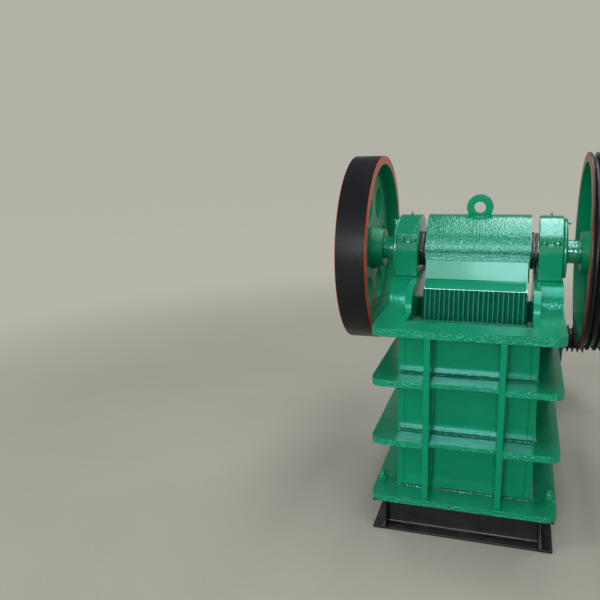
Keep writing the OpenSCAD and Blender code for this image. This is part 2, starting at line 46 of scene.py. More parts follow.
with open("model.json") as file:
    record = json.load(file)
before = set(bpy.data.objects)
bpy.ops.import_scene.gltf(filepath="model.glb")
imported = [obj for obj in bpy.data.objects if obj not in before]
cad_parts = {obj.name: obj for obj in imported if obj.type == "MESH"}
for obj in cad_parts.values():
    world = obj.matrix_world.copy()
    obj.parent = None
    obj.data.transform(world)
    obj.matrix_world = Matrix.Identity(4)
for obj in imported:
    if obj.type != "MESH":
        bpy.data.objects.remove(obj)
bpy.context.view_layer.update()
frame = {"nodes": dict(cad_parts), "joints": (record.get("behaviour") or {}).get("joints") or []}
CAD = frame["nodes"]
JOINTS = {joint["name"]: np.array(joint["pos_m"]) for joint in frame["joints"]}
SHAFT = JOINTS["shaft_turn"]
JOURNAL = JOINTS["jaw_swing"]
MOTOR = JOINTS["motor_turn"]
X, Y, Z = 0, 1, 2


def corners(node):
    """Lowest and highest corner of a CAD node, as two arrays."""
    low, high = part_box(node)
    return np.array(low), np.array(high)


# Sizes


class CrusherPaint(bpy.types.PropertyGroup):
    """Colours of the enamel and the bare metal."""

    def colour(name, description, default):
        return bpy.props.FloatVectorProperty(
            name=name, description=description, default=default, size=3,
            subtype="COLOR", min=0.0, max=1.0)

    green: colour("Frame green", "Enamel on the frame and the castings", (0.0020, 0.318, 0.153))
    deep_green: colour("Deep green", "The same enamel where it lies thin", (0.0016, 0.268, 0.128))
    jaw_green: colour("Jaw green", "Thin spray on the jaw plates", (0.0014, 0.170, 0.090))
    # Also the colour of the painted shade beside the uprights and of the painted shade line in the rib corners.
    jaw_deep_and_shade: colour("Deep jaw green", "The same spray where it is thinner", (0.0012, 0.125, 0.070))
    # Painted reflection: the pale haze above and on the ribs and the pale specks on the barrel are painted in
    # this colour.
    painted_glare: colour("Painted glare", "Painted reflection haze on the ribs and painted highlight specks on the barrel", (0.19, 0.68, 0.60))
    glint: colour("Glint", "Tint of the castings' reflections", (0.55, 1.0, 1.0))
    plate_glint: colour("Plate glint", "Tint of the plates' reflections", (0.25, 1.0, 0.95))
    black: colour("Black", "Enamel on the skid and the wheel rims", (0.0060, 0.0075, 0.0100))
    worn_black: colour("Worn black", "The same enamel where it is scuffed", (0.0125, 0.0155, 0.0185))
    orange: colour("Ring orange", "Face ring of the wheels and the pulley", (0.76, 0.070, 0.022))
    blue: colour("Motor blue", "Enamel on the motor", (0.035, 0.075, 0.155))
    dust: colour("Dust", "Dry floor dust", (0.30, 0.28, 0.24))
    steel: colour("Bare steel", "Turned steel", (0.55, 0.56, 0.57))
    iron: colour("Cast jaw iron", "Jaw teeth under their spray of green", (0.10, 0.105, 0.10))


class CrusherWelds(bpy.types.PropertyGroup):
    """Sizes of the weld beads."""

    def length(name, description, default):
        return bpy.props.FloatProperty(
            name=name, description=description, default=default, min=0.0, unit="LENGTH")

    bead: length("Bead", "Radius of a weld bead", 0.0075)
    ripple_pitch: length("Ripple pitch", "Distance between two ripples", 0.0085)
    ring_step: length("Ring step", "Distance between two rings of the bead's mesh", 0.0026)
    ripple: bpy.props.FloatProperty(
        name="Ripple", description="Height of a ripple over the bead's radius", default=0.05)


class CrusherBolts(bpy.types.PropertyGroup):
    """Sizes of the bolts and fittings."""

    def length(name, description, default):
        return bpy.props.FloatProperty(
            name=name, description=description, default=default, min=0.0, unit="LENGTH")

    cap_stud: length("Cap stud", "Radius of a bearing cap's stud", 0.0085)
    foot_stud: length("Foot stud", "Radius of a base flange's bolt", 0.0095)
    motor_stud: length("Motor stud", "Radius of a motor foot's bolt", 0.007)
    nipple: length("Grease nipple", "Height of a grease nipple", 0.015)
    coil_wire: length("Spring wire", "Radius of the spring's wire", 0.0065)
    coil_turns: bpy.props.IntProperty(
        name="Spring turns", description="Turns of the rod's spring", default=7, min=2)


class CrusherStage(bpy.types.PropertyGroup):
    """The studio."""

    floor: bpy.props.FloatVectorProperty(
        name="Floor", description="Colour of the floor and its sweep",
        default=(0.485, 0.48, 0.412), size=3, subtype="COLOR", min=0.0, max=1.0)
    sky: bpy.props.FloatProperty(
        name="Sky", description="Strength of the even light", default=0.14, min=0.0)

    def lamp(name, description, default):
        return bpy.props.FloatProperty(
            name=name, description=description, default=default, min=0.0, unit="POWER")

    roof_lamp: lamp("Roof lamp", "Power of the long lamp overhead", 106.0)
    left_key: lamp("Left key lamp", "Power of the broad lamp at the left in front", 65.0)
    right_key: lamp("Right key lamp", "Power of the broad lamp at the right in front", 18.0)
    back_lamp: lamp("Back lamps", "Power of the broad lamp on each side behind", 56.0)
    front_lamp: lamp("Front lamp", "Power of the lamp high at the feed side", 14.0)
    door_lamp: lamp("Door lamp", "Power of the lamp low at the feed side", 110.0)


def sizes():
    """The four groups of sizes on the scene."""
    scene = bpy.context.scene
    return scene.crusher_paint, scene.crusher_welds, scene.crusher_bolts, scene.crusher_stage


# Surfaces


def grid_faces(rows, columns, close_rows=False, close_columns=False, start=0):
    """Quads between neighbours of a rows by columns grid of points, wrapping where it closes."""
    r = np.arange(rows if close_rows else rows - 1)
    c = np.arange(columns if close_columns else columns - 1)
    i, j = np.meshgrid(r, c, indexing="ij")
    k, l = (i + 1) % rows, (j + 1) % columns
    quads = np.stack([i * columns + j, k * columns + j, k * columns + l, i * columns + l], -1)
    return quads.reshape(-1, 4) + start


class Skin:
    """Collects grids of points, so that like shapes become one mesh."""

    def __init__(self):
        self.points = []
        self.faces = []
        self.count = 0

    def add(self, grid, close_rows=False, close_columns=False):
        """One grid of points, rows by columns by 3."""
        rows, columns = grid.shape[:2]
        self.faces.append(grid_faces(rows, columns, close_rows, close_columns, self.count))
        self.points.append(grid.reshape(-1, 3))
        self.count += rows * columns

    def build(self, name, material, body, slot, outwards=False, crisp=False):
        """Makes the mesh, welds its poles and lets it ride on a body. A crisp one keeps its
        corners sharp in the shading."""
        mesh = bpy.data.meshes.new(name)
        mesh.from_pydata(np.concatenate(self.points), [], np.concatenate(self.faces))
        piece = bpy.data.objects.new(name, mesh)
        bpy.context.scene.collection.objects.link(piece)
        close_poles(mesh, outwards)
        mesh.shade_smooth()
        if crisp:
            mesh.set_sharp_from_angle(angle=math.radians(32))
        mesh.materials.append(material)
        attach(piece, body)
        return piece


def close_poles(mesh, outwards):
    """Merges points that coincide and drops the faces that this flattens."""
    import bmesh

    work = bmesh.new()
    work.from_mesh(mesh)
    bmesh.ops.remove_doubles(work, verts=work.verts, dist=1e-6)
    if outwards:
        bmesh.ops.recalc_face_normals(work, faces=work.faces)
    work.to_mesh(mesh)
    work.free()


def frames_along(path, lift):
    """Tangent, side and lift of each point of a path: side = tangent x lift, lift = side x tangent."""
    tangent = np.gradient(path, axis=0)
    tangent /= np.linalg.norm(tangent, axis=1, keepdims=True)
    side = np.cross(tangent, lift)
    side /= np.linalg.norm(side, axis=1, keepdims=True)
    return tangent, side, np.cross(side, tangent)


def resample(path, step):
    """The same path with a point about every step of its length."""
    lengths = np.concatenate([[0.0], np.cumsum(np.linalg.norm(np.diff(path, axis=0), axis=1))])
    count = max(8, int(lengths[-1] / step))
    at = np.linspace(0.0, lengths[-1], count)
    return np.stack([np.interp(at, lengths, path[:, k]) for k in range(3)], -1), at


def tube(path, radius, lift, sides=8, wide=1.0, tall=1.0):
    """An ellipse carried along a path: path + radius (wide side cos a + tall lift sin a)."""
    _, side, up = frames_along(path, lift)
    a = np.linspace(0.0, 2 * np.pi, sides, endpoint=False)
    radius = np.broadcast_to(np.asarray(radius, float), (len(path),))[:, None, None]
    return path[:, None] + radius * (side[:, None] * wide * np.cos(a)[None, :, None]
                                     + up[:, None] * tall * np.sin(a)[None, :, None])


def bead_points(start, end, lift, welds, size=1.0, sides=12):
    """A flat rippled fillet from start to end: radius = size bead (1 + ripple sin 2 pi s / pitch
    + wander), 1.7 times as wide as it is round and 0.8 times as tall, closed at both ends."""
    path, at = resample(np.array([start, end], float), welds.ring_step)
    seed = abs(math.sin(127.1 * path[0, 0] + 311.7 * path[0, 1] + 74.7 * path[0, 2])) * 40
    wander = (0.12 * np.sin(at * 61 + seed) + 0.10 * np.sin(at * 147 + 2 * seed)
              + 0.08 * np.sin(at * 331 + 3 * seed))
    radius = size * welds.bead * (1 + welds.ripple * np.sin(2 * np.pi * at / welds.ripple_pitch) + wander)
    ends = np.minimum(at, at[-1] - at) / (1.5 * welds.bead)
    radius *= np.sqrt(np.clip(ends, 0, 1))
    drift = 0.10 * welds.bead * np.sin(at * 33 + seed)
    path = path + np.asarray(lift, float) * drift[:, None]
    return tube(path, radius, np.asarray(lift, float), sides, 1.7, 0.8)


def turned(profile, centre, axis=Z, sides=24):
    """A profile of (radius, distance) turned about an axis through centre."""
    profile = np.asarray(profile, float)
    a = np.linspace(0.0, 2 * np.pi, sides, endpoint=False)
    r, h = profile[:, 0][:, None], profile[:, 1][:, None]
    flat = [r * np.cos(a), r * np.sin(a), np.broadcast_to(h, (len(profile), sides))]
    order = {X: (2, 0, 1), Y: (1, 2, 0), Z: (0, 1, 2)}[axis]
    return np.stack([flat[k] for k in order], -1) + np.asarray(centre, float)


def hexagon(across, low, high, chamfer, centre, axis=Z, turn=0.0):
    """A nut or bolt head: at each height the radius is the hexagon's or the chamfer cone's,
    whichever is smaller, and both ends are closed."""
    a = np.linspace(0.0, 2 * np.pi, 36, endpoint=False)
    hexagonal = across / 2 / np.cos(a % (np.pi / 3) - np.pi / 6)
    a = a + turn
    heights = np.array([low, low, low + chamfer, (low + high) / 2, high - chamfer, high, high])
    cone = across / 2 * np.array([0.0, 0.96, 1.2, 1.2, 1.2, 0.96, 0.0])
    r = np.minimum(hexagonal[None, :], cone[:, None])
    flat = [r * np.cos(a), r * np.sin(a), np.broadcast_to(heights[:, None], r.shape)]
    order = {X: (2, 0, 1), Y: (1, 2, 0), Z: (0, 1, 2)}[axis]
    return np.stack([flat[k] for k in order], -1) + np.asarray(centre, float)


def bolt(skin, centre, stud, axis=Z, turn=0.0, proud=0.9, sign=1.0, nuts=1):
    """A washer, one nut or more and a stud end standing on a face at centre, along an axis."""
    up = np.zeros(3)
    up[axis] = sign
    centre = np.asarray(centre, float)
    washer = stud * 0.35
    nut = stud * 1.7
    seat = washer + (nuts - 1) * nut
    top = seat + nut + stud * proud

    def place(grid):
        """Turns the shape over where it stands the other way: along = -along, across kept."""
        grid = grid.copy()
        if sign < 0:
            grid[..., axis] = 2 * centre[axis] - grid[..., axis]
            return grid[:, ::-1]
        return grid

    skin.add(place(turned([(0, 0), (stud * 2.1, 0), (stud * 2.15, washer * 0.7),
                           (stud * 2.0, washer), (0, washer)], centre, axis)), close_columns=True)
    for k in range(nuts):
        foot = washer + k * nut
        skin.add(place(hexagon(stud * 3.1, foot, foot + nut, stud * 0.2, centre, axis, turn + k * 0.4)),
                 close_columns=True)
    skin.add(place(turned([(0, seat), (stud, seat + nut * 0.5), (stud, top - stud * 0.2),
                           (stud * 0.8, top), (0, top)], centre, axis, 16)), close_columns=True)


# Shader node groups and materials


class Tree:
    """Short names for making nodes and links in one node tree."""

    def __init__(self, tree):
        self.tree = tree
        self.place = 0

    def node(self, kind, **settings):
        """A node with its settings; a key that names an input sets or links that input."""
        node = self.tree.nodes.new("ShaderNode" + kind)
        node.location = (self.place * 180, -(self.place % 5) * 140)
        self.place += 1
        inputs = settings.pop("inputs", {})
        for key, value in settings.items():
            setattr(node, key, value)
        for key, value in inputs.items():
            self.feed(node, key, value)
        return node

    def feed(self, node, key, value):
        """Sets an input, or links it where the value is a socket."""
        if isinstance(value, bpy.types.NodeSocket):
            self.tree.links.new(value, node.inputs[key])
        else:
            node.inputs[key].default_value = value

    def math(self, operation, a, b=0.0, clamp=False):
        """One Math node's output."""
        node = self.node("Math", operation=operation, use_clamp=clamp)
        self.feed(node, 0, a)
        self.feed(node, 1, b)
        return node.outputs[0]

    def noise(self, coordinates, scale, detail=3.0, rough=0.55):
        """A noise's value, about 0.5 in the middle."""
        return self.node("TexNoise", inputs={"Vector": coordinates, "Scale": scale,
                                             "Detail": detail, "Roughness": rough}).outputs[0]

    def range(self, value, low, high, to_low=0.0, to_high=1.0, smooth=True):
        """A value carried from one range to another."""
        node = self.node("MapRange", interpolation_type="SMOOTHSTEP" if smooth else "LINEAR")
        for key, number in zip(range(5), (value, low, high, to_low, to_high)):
            self.feed(node, key, number)
        return node.outputs[0]

    def mix(self, factor, a, b):
        """One colour mixed with another."""
        node = self.node("Mix", data_type="RGBA")
        for key, value in ((0, factor), (6, a), (7, b)):
            self.feed(node, key, value)
        return node.outputs[2]


def group(name, takes, gives, fill):
    """A shader node group with named sockets, made once."""
    tree = bpy.data.node_groups.get(name)
    if tree is None:
        tree = bpy.data.node_groups.new(name, "ShaderNodeTree")
        for socket, (kind, default) in takes.items():
            made = tree.interface.new_socket(socket, in_out="INPUT", socket_type=kind)
            if default is not None:
                made.default_value = default
        for socket, kind in gives.items():
            tree.interface.new_socket(socket, in_out="OUTPUT", socket_type=kind)
        work = Tree(tree)
        source = tree.nodes.new("NodeGroupInput")
        target = tree.nodes.new("NodeGroupOutput")
        for socket, value in fill(work, source.outputs).items():
            tree.links.new(value, target.inputs[socket])
    return tree


NUMBER = "NodeSocketFloat"
COLOUR = "NodeSocketColor"
VECTOR = "NodeSocketVector"


def brushed_enamel():
    """Height of thick enamel: fine peel over soft lumps over slow waves."""
    def fill(work, given):
        coordinates = given["Coordinates"]
        peel = work.noise(coordinates, given["Peel scale"], 2.0, 0.5)
        lump = work.noise(coordinates, given["Lump scale"], 3.0, 0.6)
        wave = work.noise(coordinates, 9.0, 2.0, 0.5)
        height = work.math("ADD", work.math("MULTIPLY", peel, given["Peel depth"]),
                           work.math("MULTIPLY", lump, given["Lump depth"]))
        height = work.math("ADD", height, work.math("MULTIPLY", wave, given["Wave depth"]))
        return {"Height": height}

    return group("Brushed enamel", {
        "Coordinates": (VECTOR, None), "Peel scale": (NUMBER, 260.0), "Peel depth": (NUMBER, 0.0002),
        "Lump scale": (NUMBER, 60.0), "Lump depth": (NUMBER, 0.0006),
        "Wave depth": (NUMBER, 0.002)}, {"Height": NUMBER}, fill)


def settled_dust():
    """Mask of dust: more on what faces up and near the floor, broken by noise."""
    def fill(work, given):
        place = work.node("SeparateXYZ", inputs={0: given["Coordinates"]})
        facing = work.node("SeparateXYZ", inputs={0: given["Facing"]})
        up = work.range(facing.outputs[2], 0.35, 0.95)
        near = work.range(place.outputs[2], given["Reach"], 0.0)
        spots = work.range(work.noise(given["Coordinates"], 14.0, 5.0, 0.65), 0.38, 0.68)
        layer = work.math("MAXIMUM", up, work.math("MULTIPLY", near, 0.7))
        mask = work.math("MULTIPLY", work.math("MULTIPLY", layer, spots), given["Amount"], True)
        return {"Mask": mask}

    return group("Settled dust", {
        "Coordinates": (VECTOR, None), "Facing": (VECTOR, None), "Reach": (NUMBER, 0.3),
        "Amount": (NUMBER, 0.4)}, {"Mask": NUMBER}, fill)


def uneven_tone():
    """A colour that drifts between itself and a second tone with slow and fine noise."""
    def fill(work, given):
        slow = work.noise(given["Coordinates"], given["Slow scale"], 3.0, 0.6)
        fine = work.noise(given["Coordinates"], given["Fine scale"], 4.0, 0.6)
        drift = work.math("ADD", work.math("MULTIPLY", slow, 0.65), work.math("MULTIPLY", fine, 0.35))
        factor = work.math("MULTIPLY", work.range(drift, 0.36, 0.66), given["Amount"], True)
        return {"Colour": work.mix(factor, given["Colour"], given["Second"]), "Drift": drift}

    return group("Uneven tone", {
        "Coordinates": (VECTOR, None), "Colour": (COLOUR, None), "Second": (COLOUR, None),
        "Slow scale": (NUMBER, 3.5), "Fine scale": (NUMBER, 38.0), "Amount": (NUMBER, 0.6)},
        {"Colour": COLOUR, "Drift": NUMBER}, fill)


def axle_distance():
    """Distance from an axle that runs along X: sqrt(y^2 + z^2) of the point less the centre."""
    def fill(work, given):
        moved = work.node("VectorMath", operation="SUBTRACT",
                          inputs={0: given["Coordinates"], 1: given["Centre"]}).outputs[0]
        parts = work.node("SeparateXYZ", inputs={0: moved})
        square = work.math("ADD", work.math("MULTIPLY", parts.outputs[1], parts.outputs[1]),
                           work.math("MULTIPLY", parts.outputs[2], parts.outputs[2]))
        return {"Distance": work.math("SQRT", square), "Along": parts.outputs[0]}

    return group("Axle distance", {"Coordinates": (VECTOR, None), "Centre": (VECTOR, None)},
                 {"Distance": NUMBER, "Along": NUMBER}, fill)


def corner_glare_and_shade():
    """Two masks of the corner above a shelf, both painted light. Mask is a painted reflection: pale
    haze on the wall up to the reach and on the shelf, streaked sideways: full between the two
    uprights, weaker in the left and right bays. The seam shade mask is a painted shade: the dark
    line where the shelf meets the wall."""
    def fill(work, given):
        place = work.node("SeparateXYZ", inputs={0: given["Coordinates"]})
        wander = work.math("MULTIPLY", work.math("SUBTRACT", work.noise(given["Coordinates"], 55.0, 3.0),
                                                 0.5), 0.014)
        over = work.math("SUBTRACT", place.outputs[2], given["Shelf"])
        rise = work.range(over, -0.004, 0.001)
        fade = work.range(over, given["Reach"], work.math("MULTIPLY", given["Reach"], 0.78))
        across = work.math("ABSOLUTE", place.outputs[0])
        half, rib = given["Half width"], given["Upright"]
        inside = work.range(across, half, work.math("SUBTRACT", half, 0.010))
        beyond = work.math("ADD", half, rib)
        outer = work.math("MULTIPLY", work.range(across, beyond, work.math("ADD", beyond, 0.012)),
                          work.range(across, given["Corner"], work.math("SUBTRACT", given["Corner"], 0.02)))
        sides = work.range(place.outputs[0], -0.01, 0.01, given["Left bay"], given["Right bay"])
        bays = work.math("ADD", inside, work.math("MULTIPLY", outer, sides))
        close = work.range(place.outputs[1], given["Back"], work.math("SUBTRACT", given["Back"], 0.003))
        drawn = work.node("Mapping", inputs={"Vector": given["Coordinates"],
                                             "Scale": (9.0, 30.0, 110.0)}).outputs[0]
        streaks = work.range(work.noise(drawn, 1.0, 3.0, 0.6), 0.34, 0.62, 0.65, 1.0)
        crumbs = work.range(work.noise(given["Coordinates"], 90.0, 3.0, 0.6), 0.26, 0.46, 0.65, 1.0)
        mask = work.math("MULTIPLY", work.math("MULTIPLY", rise, fade), work.math("MULTIPLY", bays, close))
        mask = work.math("MULTIPLY", mask, work.math("MULTIPLY", streaks, crumbs))
        low = work.range(work.math("ADD", over, wander), 0.013, 0.007)
        deep = work.range(work.math("ADD", place.outputs[1], wander),
                          work.math("SUBTRACT", given["Back"], 0.030),
                          work.math("SUBTRACT", given["Back"], 0.024))
        painted_seam_shade = work.math("MULTIPLY", work.math("MULTIPLY", low, deep), work.math("MULTIPLY", rise, close))
        lined = work.math("MINIMUM", work.math("MULTIPLY", bays, 2.0), 1.0)
        return {"Mask": work.math("MULTIPLY", mask, given["Amount"], True),
                "Seam": work.math("MULTIPLY", painted_seam_shade, lined, True)}

    return group("Painted corner glare and shade", {
        "Coordinates": (VECTOR, None), "Shelf": (NUMBER, 0.4), "Reach": (NUMBER, 0.034),
        "Half width": (NUMBER, 0.13), "Upright": (NUMBER, 0.024), "Corner": (NUMBER, 0.275),
        "Left bay": (NUMBER, 0.6), "Right bay": (NUMBER, 0.3), "Back": (NUMBER, 0.0),
        "Amount": (NUMBER, 1.0)}, {"Mask": NUMBER, "Seam": NUMBER}, fill)


def upright_shade():
    """Mask of painted shade on the wall beside an upright's two faces:
    1 at |x| = half or half + upright, fading over 20 mm."""
    def fill(work, given):
        place = work.node("SeparateXYZ", inputs={0: given["Coordinates"]})
        wander = work.math("MULTIPLY", work.math("SUBTRACT", work.noise(given["Coordinates"], 28.0, 3.0),
                                                 0.5), 0.024)
        across = work.math("ABSOLUTE", place.outputs[0])
        outer = work.math("ADD", given["Half width"], given["Upright"])
        near = work.math("MINIMUM", work.math("ABSOLUTE", work.math("SUBTRACT", across, given["Half width"])),
                         work.math("ABSOLUTE", work.math("SUBTRACT", across, outer)))
        fade = work.range(work.math("ADD", near, wander), 0.020, 0.001)
        wall = work.range(place.outputs[1], work.math("SUBTRACT", given["Back"], 0.009),
                          work.math("SUBTRACT", given["Back"], 0.006))
        front = work.range(place.outputs[1], work.math("ADD", given["Back"], 0.020),
                           work.math("ADD", given["Back"], 0.010))
        wall = work.math("MULTIPLY", wall, front)
        return {"Mask": work.math("MULTIPLY", work.math("MULTIPLY", fade, wall), given["Amount"], True)}

    return group("Upright shade", {
        "Coordinates": (VECTOR, None), "Half width": (NUMBER, 0.13), "Upright": (NUMBER, 0.024),
        "Back": (NUMBER, 0.0), "Amount": (NUMBER, 0.55)}, {"Mask": NUMBER}, fill)


def top_spray():
    """Mask of spray on what looks up: above a height and behind a line, with a soft edge."""
    def fill(work, given):
        place = work.node("SeparateXYZ", inputs={0: given["Coordinates"]})
        facing = work.node("SeparateXYZ", inputs={0: given["Facing"]})
        high = work.math("GREATER_THAN", place.outputs[2], given["Above"])
        wander = work.math("MULTIPLY", work.noise(given["Coordinates"], 12.0, 4.0, 0.6), 0.10)
        behind = work.range(work.math("SUBTRACT", place.outputs[1], wander), given["Behind"],
                            work.math("ADD", given["Behind"], 0.04))
        up = work.range(facing.outputs[2], 0.4, 0.8)
        return {"Mask": work.math("MULTIPLY", work.math("MULTIPLY", high, behind), up, True)}

    return group("Top spray", {
        "Coordinates": (VECTOR, None), "Facing": (VECTOR, None), "Above": (NUMBER, 0.138),
        "Behind": (NUMBER, 0.0)}, {"Mask": NUMBER}, fill)


def use_group(work, tree, **inputs):
    """Places a group in a material with its own values; underscores stand for spaces."""
    node = work.tree.nodes.new("ShaderNodeGroup")
    node.node_tree = tree
    for key, value in inputs.items():
        work.feed(node, key.replace("_", " "), value)
    return node.outputs


def rgba(colour):
    """A colour with full alpha."""
    return (*colour, 1.0)


def start_material(name, metallic=0.0, gloss=0.5, tint=(1.0, 1.0, 1.0), bend=1.5):
    """A new material's tree, its shader and the coordinates and facing on the object."""
    material = bpy.data.materials.new(name)
    material.use_nodes = True
    work = Tree(material.node_tree)
    shader = material.node_tree.nodes["Principled BSDF"]
    shader.inputs["Metallic"].default_value = metallic
    shader.inputs["Specular IOR Level"].default_value = gloss
    shader.inputs["Specular Tint"].default_value = rgba(tint)
    shader.inputs["IOR"].default_value = bend
    coordinates = work.node("TexCoord")
    return material, work, shader, coordinates.outputs["Object"], coordinates.outputs["Normal"]


def bump(work, shader, height, strength=1.0):
    """Feeds a height in metres to the shader's normal."""
    node = work.node("Bump", inputs={"Height": height, "Strength": strength, "Distance": 1.0})
    work.feed(shader, "Normal", node.outputs[0])


def enamel(name, colour, second, paint, rough=0.3, peel=0.00022, lump=0.0008, wave=0.003,
           peel_scale=240.0, lump_scale=55.0, dust=0.35, reach=0.3, gloss=0.5,
           tint=(1.0, 1.0, 1.0), tone=0.6, shelves=(), smooth_below=None, edge_lump=0.0,
           overspray=None, bend=1.5, brushed=1.0):
    """Thick glossy enamel: uneven tone, dust over it, and a brushed height. Where there are
    shelves, the wall beside the uprights carries a painted shade. Shelves are ribs that carry a
    painted reflection, a pale haze on the wall above them and on their tops, and a painted shade
    line in the corner. Above smooth_below the barrel's front has a coarse band with pale specks
    that are painted highlights, and under it the casting's grain fades into smooth plate. Edge
    lumps are sags of thick enamel on faces that stand upright. Overspray is green on faces that
    look up, above a height and behind a line. Brushed below 1 draws the marks out round an axle
    along X."""
    material, work, shader, place, facing = start_material(name, gloss=gloss, tint=tint, bend=bend)
    toned = use_group(work, uneven_tone(), Coordinates=place, Colour=rgba(colour),
                      Second=rgba(second), Amount=tone)
    shade = toned["Colour"]
    # Painted shade: the wall beside the uprights is darkened towards the deep jaw green.
    if shelves:
        beside = use_group(work, upright_shade(), Coordinates=place, Half_width=shelves[0][1],
                           Back=shelves[0][2])
        shade = work.mix(beside["Mask"], shade, rgba(paint.jaw_deep_and_shade))
    # Per shelf, a painted reflection haze in pale green and a painted shade line in the corner.
    for shelf, half, back, left, right in shelves:
        corner = use_group(work, corner_glare_and_shade(), Coordinates=place, Shelf=shelf, Half_width=half,
                           Back=back, Left_bay=left, Right_bay=right)
        shade = work.mix(corner["Mask"], shade, rgba(paint.painted_glare))
        shade = work.mix(corner["Seam"], shade, rgba(paint.jaw_deep_and_shade))
    if overspray:
        spray = use_group(work, top_spray(), Coordinates=place, Facing=facing, Above=overspray[0],
                          Behind=overspray[1])
        shade = work.mix(spray["Mask"], shade, rgba(paint.deep_green))
    # Painted highlights: pale green specks in the barrel's coarse band; the same noise also gives the band its
    # real coarse bump.
    if smooth_below:
        parts = work.node("SeparateXYZ", inputs={0: place}).outputs
        specks = work.noise(place, 150.0, 3.0, 0.65)
        band = work.math("MULTIPLY", work.range(parts[2], smooth_below, smooth_below + 0.012),
                         work.range(parts[2], smooth_below + 0.078, smooth_below + 0.068))
        band = work.math("MULTIPLY", band, work.range(parts[1], JOURNAL[Y] - 0.10, JOURNAL[Y] - 0.12))
        pale = work.math("MULTIPLY", work.range(specks, 0.42, 0.56), band)
        shade = work.mix(pale, shade, rgba(paint.painted_glare))
    dusty = use_group(work, settled_dust(), Coordinates=place, Facing=facing, Reach=reach, Amount=dust)
    work.feed(shader, "Base Color", work.mix(dusty["Mask"], shade, rgba(paint.dust)))
    duller = work.math("ADD", work.range(toned["Drift"], 0.3, 0.7, rough * 0.75, rough * 1.25),
                       work.math("MULTIPLY", dusty["Mask"], 0.45))
    work.feed(shader, "Roughness", duller)
    strokes = place
    if brushed < 1:
        strokes = work.node("Mapping", inputs={"Vector": place, "Scale": (1.0, brushed, brushed)}).outputs[0]
    heights = use_group(work, brushed_enamel(), Coordinates=strokes, Peel_scale=peel_scale,
                        Peel_depth=peel, Lump_scale=lump_scale, Lump_depth=lump, Wave_depth=wave)
    height = heights["Height"]
    if edge_lump:
        up = work.math("ABSOLUTE", work.node("SeparateXYZ", inputs={0: facing}).outputs[2])
        sag = work.math("MULTIPLY", work.noise(place, 95.0, 2.0, 0.5), work.range(up, 0.95, 0.5))
        height = work.math("ADD", height, work.math("MULTIPLY", sag, edge_lump))
    if smooth_below:
        coarse = work.math("MULTIPLY", work.math("SUBTRACT", specks, 0.5), COARSE_DEPTH)
        height = work.math("SUBTRACT", height, (peel + lump + wave) / 2)
        height = work.math("ADD", height, work.math("MULTIPLY", coarse, band))
        grain = work.range(parts[2], smooth_below - 0.002, smooth_below + 0.002, 0.04, 1.0)
        height = work.math("MULTIPLY", height, grain)
    bump(work, shader, height)
    return material


def ringed_enamel(name, paint, centre, faces, ring_from, tread_from, across, ring_shade=1.0):
    """Wheel paint: orange on the rim's two faces, black on its tread, green elsewhere. A ring
    shade below 1 darkens the orange as a painted shade, for a ring that lies in shade.
    Radius is measured from the axle, and the borders wander a little with noise."""
    material, work, shader, place, facing = start_material(name, gloss=0.30)
    axle = use_group(work, axle_distance(), Coordinates=place, Centre=centre)
    wander = work.math("MULTIPLY", work.math("SUBTRACT", work.noise(place, 45.0, 3.0), 0.5), 0.006)
    radius = work.math("ADD", axle["Distance"], wander)
    near = [work.math("ABSOLUTE", work.math("SUBTRACT", axle["Along"], x - centre[0])) for x in faces]
    on_face = work.math("LESS_THAN", work.math("MINIMUM", *near), across)
    ring = work.math("MULTIPLY", on_face, work.range(radius, ring_from - 0.001, ring_from + 0.001))
    rim = work.range(radius, tread_from - 0.001, tread_from + 0.001)
    green = use_group(work, uneven_tone(), Coordinates=place, Colour=rgba(paint.green),
                      Second=rgba(paint.deep_green), Amount=0.7)["Colour"]
    black = use_group(work, uneven_tone(), Coordinates=place, Colour=rgba(paint.black),
                      Second=rgba(paint.worn_black), Fine_scale=70.0, Amount=0.5)["Colour"]
    # Ring shade scales both orange tones down: a painted shade.
    ring_paint = [rgba(tuple(c * ring_shade for c in tone)) for tone in (paint.orange, (0.50, 0.050, 0.018))]
    orange = use_group(work, uneven_tone(), Coordinates=place, Colour=ring_paint[0],
                       Second=ring_paint[1], Amount=0.6)["Colour"]
    work.feed(shader, "Base Color", work.mix(ring, work.mix(rim, green, black), orange))
    work.feed(shader, "Roughness", work.range(work.noise(place, 9.0, 3.0, 0.5), 0.3, 0.7, 0.30, 0.38))
    heights = use_group(work, brushed_enamel(), Coordinates=place, Peel_depth=0.00014,
                        Lump_depth=0.0004, Wave_depth=0.0012)
    bump(work, shader, heights["Height"])
    return material


def turned_steel(name, paint, colour, rough=0.28, oil=0.4):
    """Turned metal: fine rings across X, patches of oil and a metal's shine."""
    material, work, shader, place, _ = start_material(name, metallic=1.0)
    stretched = work.node("Mapping", inputs={"Vector": place, "Scale": (900.0, 6.0, 6.0)}).outputs[0]
    rings = work.noise(stretched, 1.0, 2.0)
    patches = work.noise(place, 30.0, 4.0, 0.6)
    tone = work.mix(work.math("MULTIPLY", work.range(patches, 0.4, 0.7), oil),
                    rgba(colour), (colour[0] * 0.45, colour[1] * 0.42, colour[2] * 0.38, 1.0))
    work.feed(shader, "Base Color", tone)
    work.feed(shader, "Roughness", work.range(patches, 0.3, 0.7, rough, rough * 1.5))
    bump(work, shader, work.math("MULTIPLY", rings, 0.00004))
    return material


